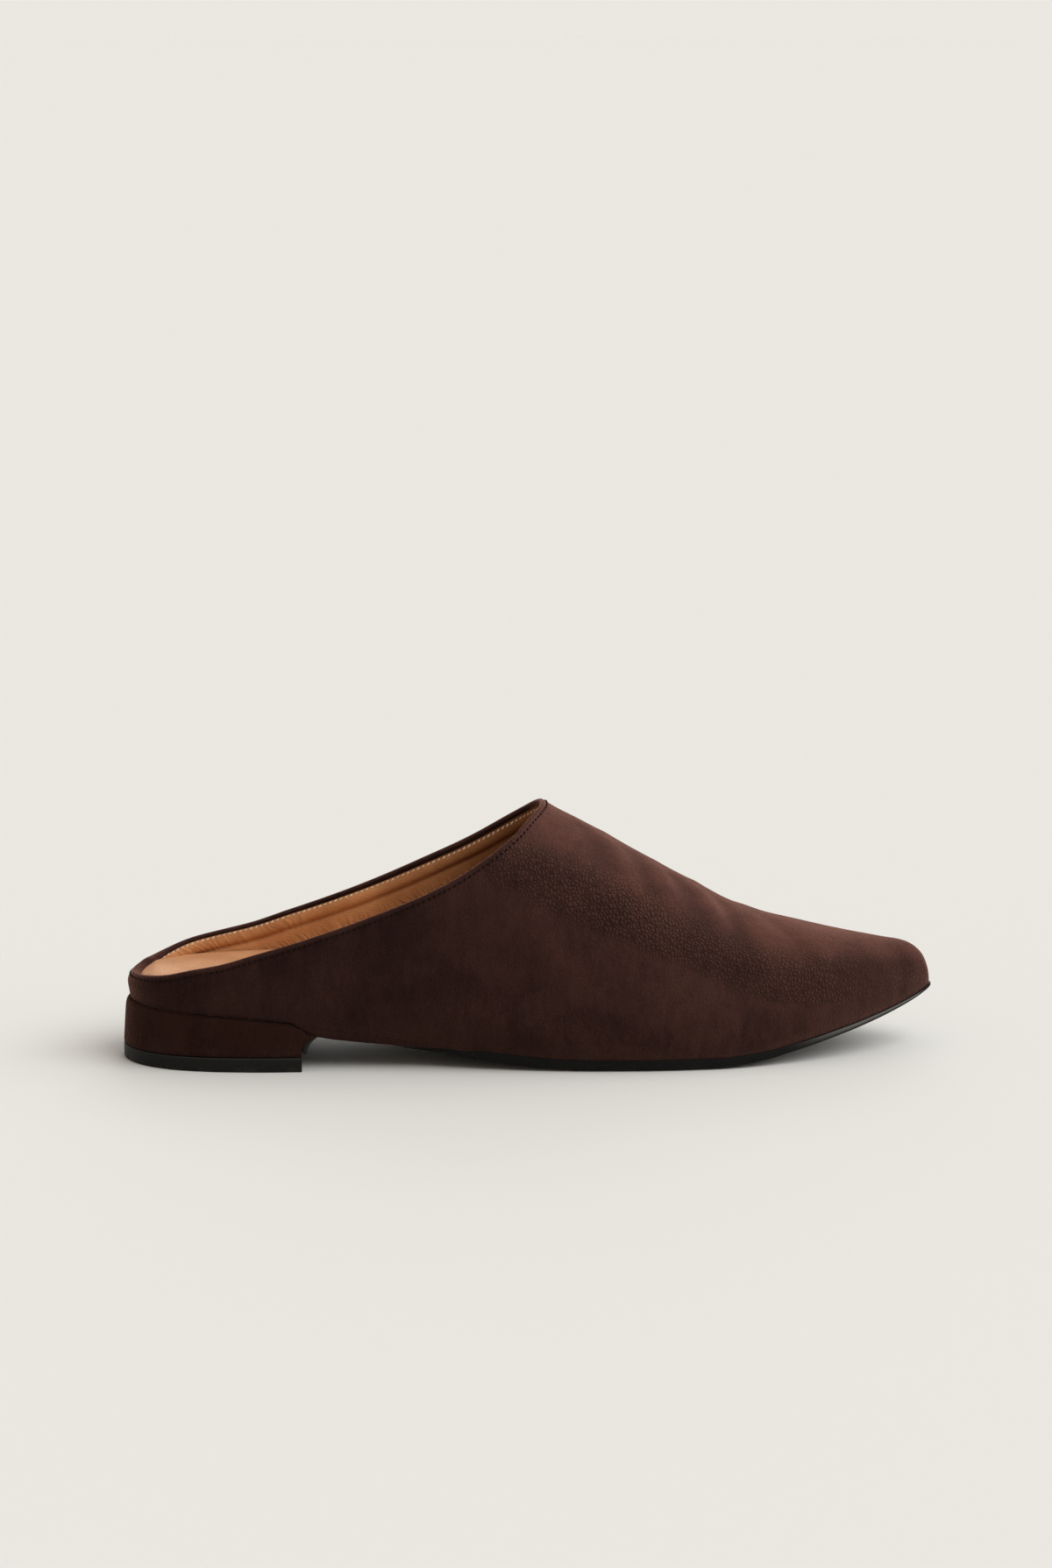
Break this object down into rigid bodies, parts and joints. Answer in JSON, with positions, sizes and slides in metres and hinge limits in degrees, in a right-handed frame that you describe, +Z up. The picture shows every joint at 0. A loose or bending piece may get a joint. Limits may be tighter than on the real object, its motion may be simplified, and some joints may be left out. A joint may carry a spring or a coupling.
{
  "type": "mule shoe",
  "caption": "Backless pointed slip-on mule with a high suede vamp, low covered heel, thin black sole and padded tan footbed; right shoe.",
  "frame": {"origin": "on the floor under the middle of the heel's tread", "axes": "+X to the toe, +Y to the inner side of the foot, +Z up"},
  "size_m": [0.2668, 0.0777, 0.0823],
  "materials": {
    "suede": "dark brown suede",
    "tan_leather": "smooth tan leather",
    "black_sole": "matt black",
    "heel_cover": "dark brown suede",
    "black_rubber": "matt black"
  },
  "bodies": {
    "root": {"upper": "suede", "insole": "tan_leather", "outsole": "black_sole", "heel": "heel_cover", "heel_lift": "black_rubber"}
  },
  "joints": []
}
